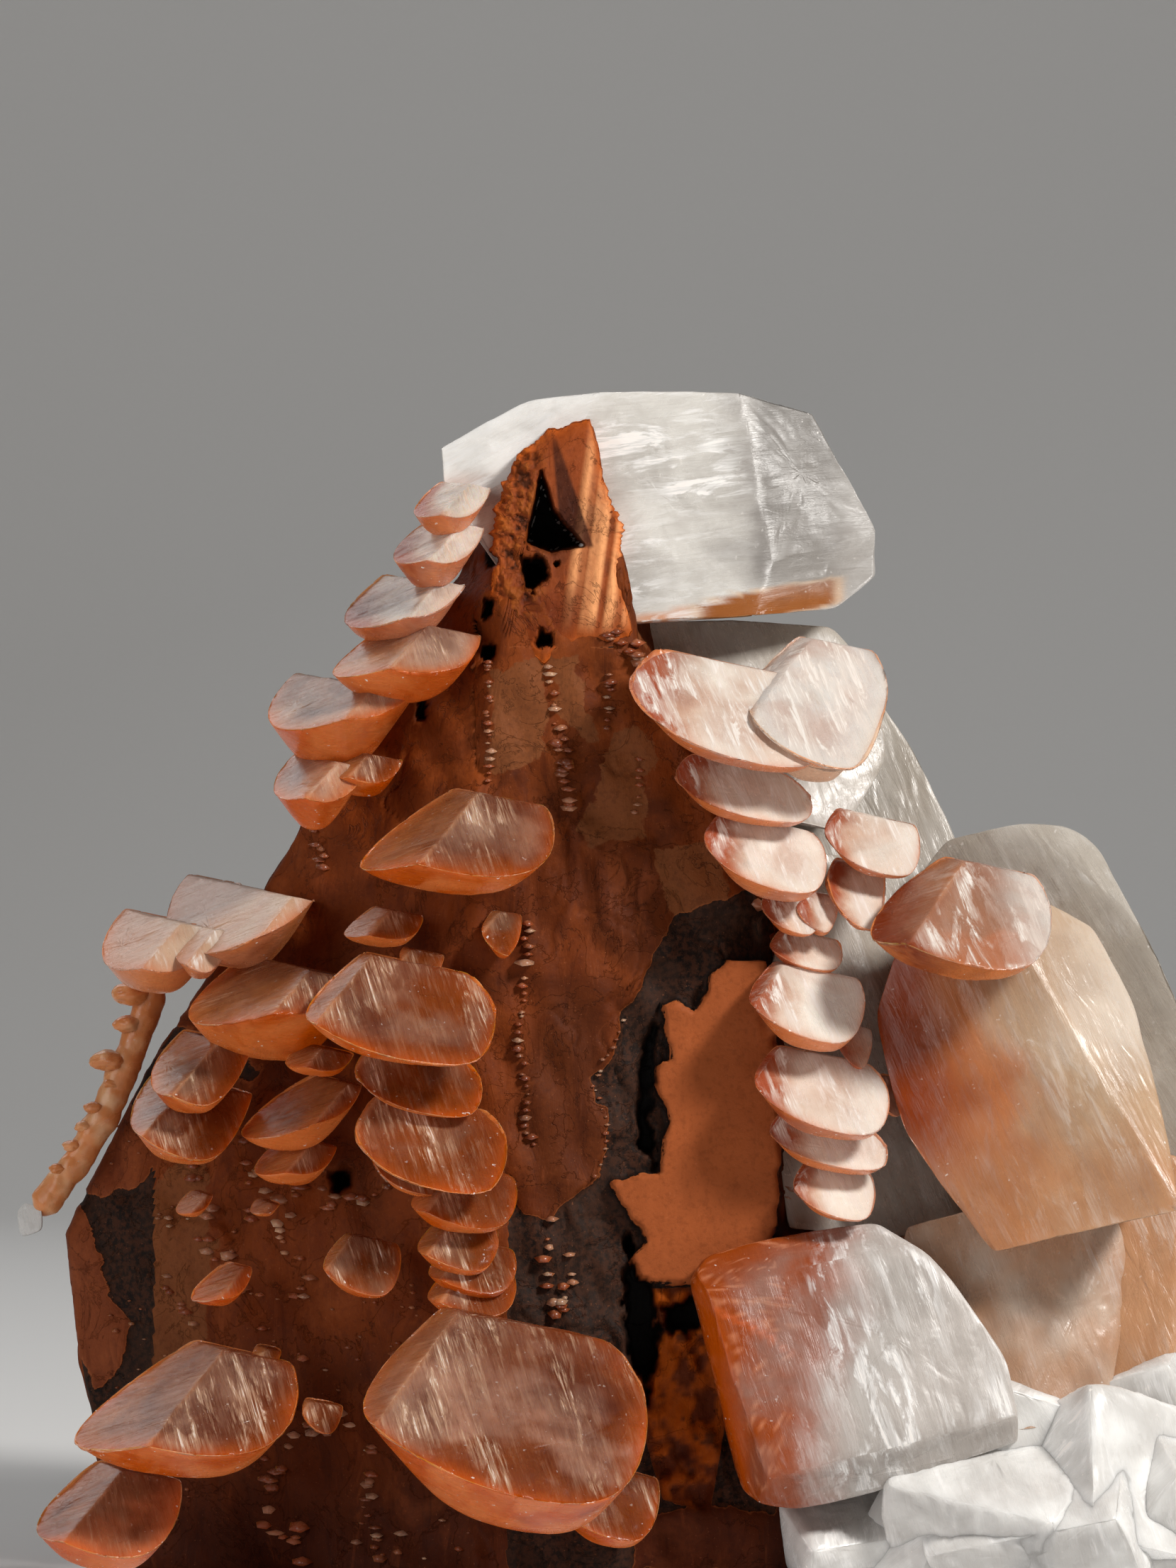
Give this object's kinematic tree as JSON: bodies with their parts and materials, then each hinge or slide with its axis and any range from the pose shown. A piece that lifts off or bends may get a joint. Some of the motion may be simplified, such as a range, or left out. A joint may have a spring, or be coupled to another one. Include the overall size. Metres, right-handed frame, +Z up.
{
  "type": "calcite and hematite crystal cluster",
  "caption": "Mineral cluster: a brown wall of iron-oxide films edged with stacks of flat salmon and white calcite crystals, a large white crystal at its summit.",
  "frame": {"origin": "centre of the bounding box in plan, at the flat cut under the foot", "axes": "+Z up, the face with the film wall looks along -Y, +X to the viewer's right"},
  "size_m": [0.0908, 0.0616, 0.0854],
  "materials": {
    "salmon_calcite": "satin",
    "amber_calcite": "satin",
    "white_calcite": "satin",
    "peach_calcite": "satin",
    "grey_calcite": "satin",
    "iron_film": "matte"
  },
  "bodies": {
    "root": {"back_lower_blades_1": "grey_calcite", "back_lower_blades_2": "grey_calcite", "back_upper_blades_1": "grey_calcite", "back_upper_blades_2": "grey_calcite", "bottom_left_blade": "salmon_calcite", "brow_crystal": "grey_calcite", "far_right_crystal": "peach_calcite", "foot_crystals": "white_calcite", "front_blades_1": "salmon_calcite", "front_blades_2": "salmon_calcite", "great_left_blade": "salmon_calcite", "hematite_wall": "iron_film", "left_rib": "peach_calcite", "left_shoulder_blades": "grey_calcite", "lower_left_blades": "salmon_calcite", "lower_right_blades_1": "peach_calcite", "lower_right_blades_2": "peach_calcite", "lower_right_blades_3": "peach_calcite", "lower_right_blades_4": "peach_calcite", "lower_right_crystal": "white_calcite", "middle_left_blades_1": "salmon_calcite", "middle_left_blades_2": "salmon_calcite", "middle_left_blades_3": "salmon_calcite", "middle_left_blades_4": "salmon_calcite", "middle_left_blades_5": "salmon_calcite", "middle_left_blades_6": "salmon_calcite", "orange_blade": "amber_calcite", "outer_left_blades_1": "salmon_calcite", "outer_left_blades_2": "salmon_calcite", "oval_blade": "salmon_calcite", "rear_foot_crystals": "grey_calcite", "rear_right_crystal": "grey_calcite", "rib_tip_crystal": "white_calcite", "right_middle_crystal": "grey_calcite", "right_shoulder": "amber_calcite", "small_blade_left": "salmon_calcite", "small_blade_right": "salmon_calcite", "summit_crystal": "white_calcite", "tail_blades": "salmon_calcite", "under_summit_crystal": "grey_calcite", "upper_left_blades": "salmon_calcite", "upper_right_blades_1": "peach_calcite", "upper_right_blades_2": "peach_calcite", "upper_right_blades_3": "peach_calcite", "upper_right_blades_4": "peach_calcite", "upper_right_blades_5": "peach_calcite", "upper_right_blades_6": "peach_calcite", "wall_blade": "salmon_calcite"}
  },
  "joints": []
}
